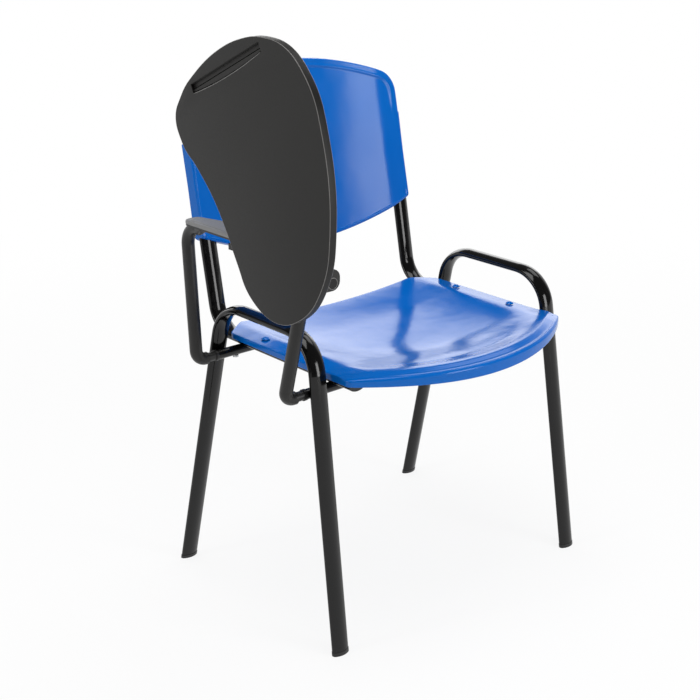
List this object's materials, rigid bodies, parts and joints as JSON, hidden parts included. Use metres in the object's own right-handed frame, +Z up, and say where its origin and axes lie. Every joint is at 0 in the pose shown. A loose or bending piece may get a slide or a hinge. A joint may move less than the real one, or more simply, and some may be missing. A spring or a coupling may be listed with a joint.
{
  "type": "stacking chair with writing tablet",
  "caption": "Stacking side chair with moulded seat and back on a bent oval-tube frame, with a tubular writing arm whose teardrop tablet folds up beside the seat.",
  "frame": {"origin": "centre of the part's box on the floor", "axes": "+Z up, the sitter faces -Y, the writing tablet is on the -X side (the sitter's right)"},
  "size_m": [0.6226, 0.5378, 0.9226],
  "materials": {
    "frame_black": "gloss black powder coat on oval steel tube",
    "arm_black": "satin dark grey powder coat",
    "black_plastic": "black moulded plastic",
    "blue_shell": "glossy blue moulded polypropylene",
    "tablet_grey": "fine-grained charcoal moulded ABS",
    "grained_pad": "grained armrest pad",
    "zinc": "zinc-plated steel"
  },
  "bodies": {
    "frame": {"tablet_side_frame": "frame_black", "tablet_side_rail": "frame_black", "tablet_side_rail_plug": "black_plastic", "tablet_side_back_screw": "zinc", "tablet_side_front_foot": "black_plastic", "tablet_side_front_seat_screw": "zinc", "tablet_side_front_seat_cap": "blue_shell", "tablet_side_rear_foot": "black_plastic", "tablet_side_rear_seat_screw": "zinc", "tablet_side_rear_seat_cap": "blue_shell", "open_side_frame": "frame_black", "open_side_rail": "frame_black", "open_side_rail_plug": "black_plastic", "open_side_back_screw": "zinc", "open_side_front_foot": "black_plastic", "open_side_front_seat_screw": "zinc", "open_side_front_seat_cap": "blue_shell", "open_side_rear_foot": "black_plastic", "open_side_rear_seat_screw": "zinc", "open_side_rear_seat_cap": "blue_shell", "front_crossbar": "frame_black", "front_crossbar_plug": "black_plastic", "arm_front_stub": "arm_black", "arm_front_collar": "black_plastic", "arm_front_lock_screw": "zinc", "hinge_front_saddle": "arm_black", "rear_crossbar": "frame_black", "rear_crossbar_plug": "black_plastic", "arm_rear_stub": "arm_black", "arm_rear_collar": "black_plastic", "arm_rear_lock_screw": "zinc", "hinge_rear_saddle": "arm_black", "seat_shell": "blue_shell", "back_shell": "blue_shell", "arm_tube": "arm_black", "armrest_base": "black_plastic", "armrest_inlay": "grained_pad", "armrest_rear_screw": "zinc", "armrest_front_screw": "zinc", "hinge_barrel": "arm_black", "hinge_stop_ring": "arm_black"},
    "tablet": {"hinge_shaft": "frame_black", "hinge_shaft_ring": "zinc", "tablet_carrier": "arm_black", "tablet_board": "tablet_grey", "tablet_screw_1": "zinc", "tablet_screw_2": "zinc", "tablet_screw_3": "zinc", "tablet_screw_4": "zinc"}
  },
  "joints": [
    {"name": "tablet_fold", "type": "hinge", "parent": "frame", "child": "tablet", "pos_m": [-0.24975, -0.08988, 0.595], "axis": [0, 1, 0], "range_deg": [0, 90]}
  ]
}
